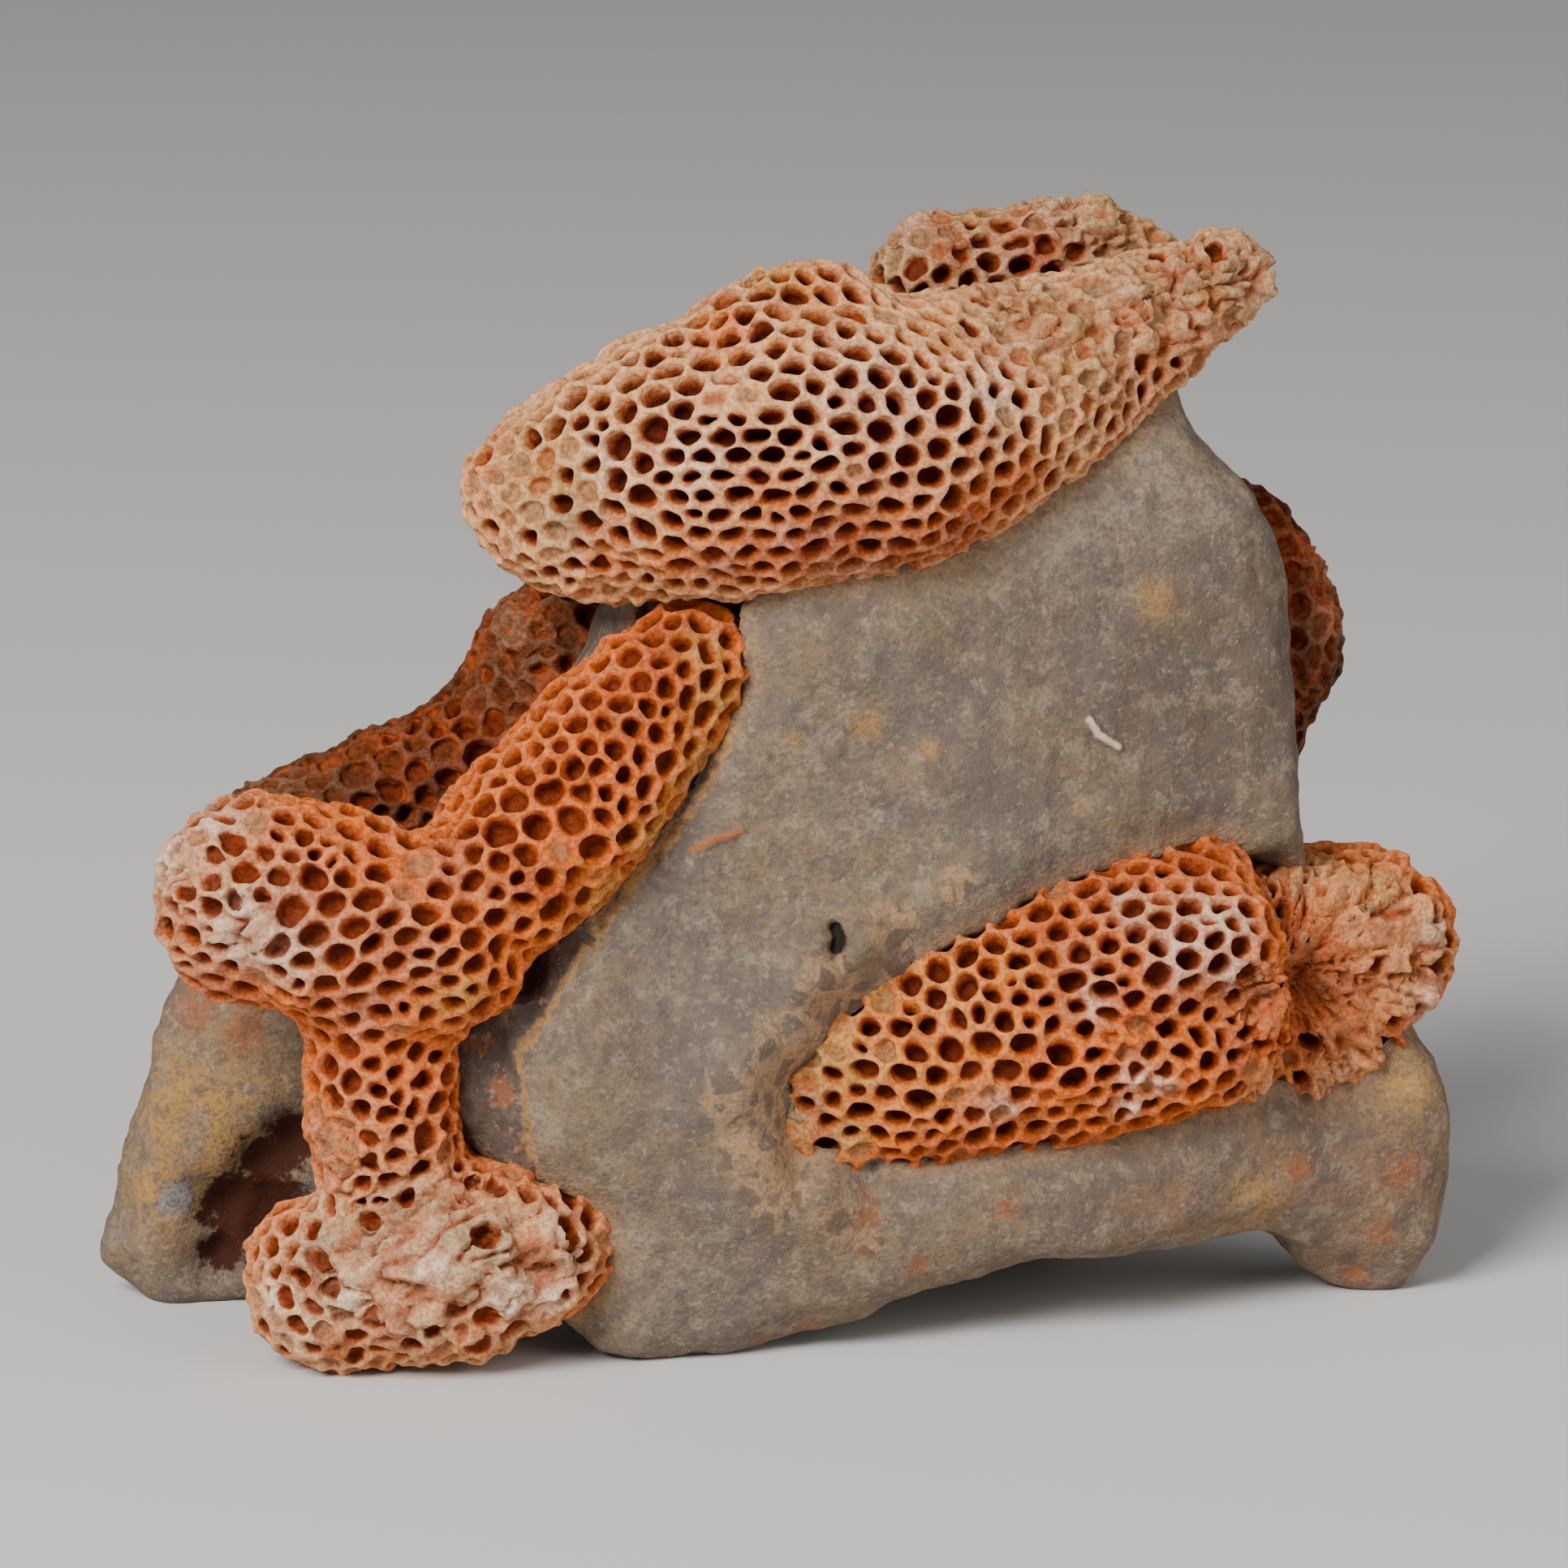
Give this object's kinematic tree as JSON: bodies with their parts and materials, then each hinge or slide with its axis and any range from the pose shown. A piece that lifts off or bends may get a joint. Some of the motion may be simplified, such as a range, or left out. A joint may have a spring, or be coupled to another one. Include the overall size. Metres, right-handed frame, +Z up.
{
  "type": "fossil coral",
  "caption": "Branching fossil coral with open honeycomb tube mouths, held in a broken piece of grey limestone that stands on its own feet.",
  "frame": {"origin": "on the surface that the fossil stands on, under the middle of its box", "axes": "+X along the fossil's length to the right as seen from the front, +Y to its back, +Z up"},
  "size_m": [0.0584, 0.029, 0.0469],
  "materials": {
    "limestone": "dry, fine-grained grey stone",
    "coral_cream": "dry cream calcite with rust in the tubes",
    "coral_orange": "dry rust-orange calcite",
    "coral_brown": "dry brown calcite"
  },
  "bodies": {
    "root": {"matrix": "limestone", "upper_branch": "coral_cream", "rear_upper_branch": "coral_cream", "left_arm": "coral_orange", "left_knob": "coral_orange", "lower_arm": "coral_orange", "lower_stump": "coral_cream", "right_branch": "coral_orange", "right_branch_end": "coral_cream", "rear_left_branch": "coral_brown", "rear_right_branch": "coral_brown"}
  },
  "joints": []
}
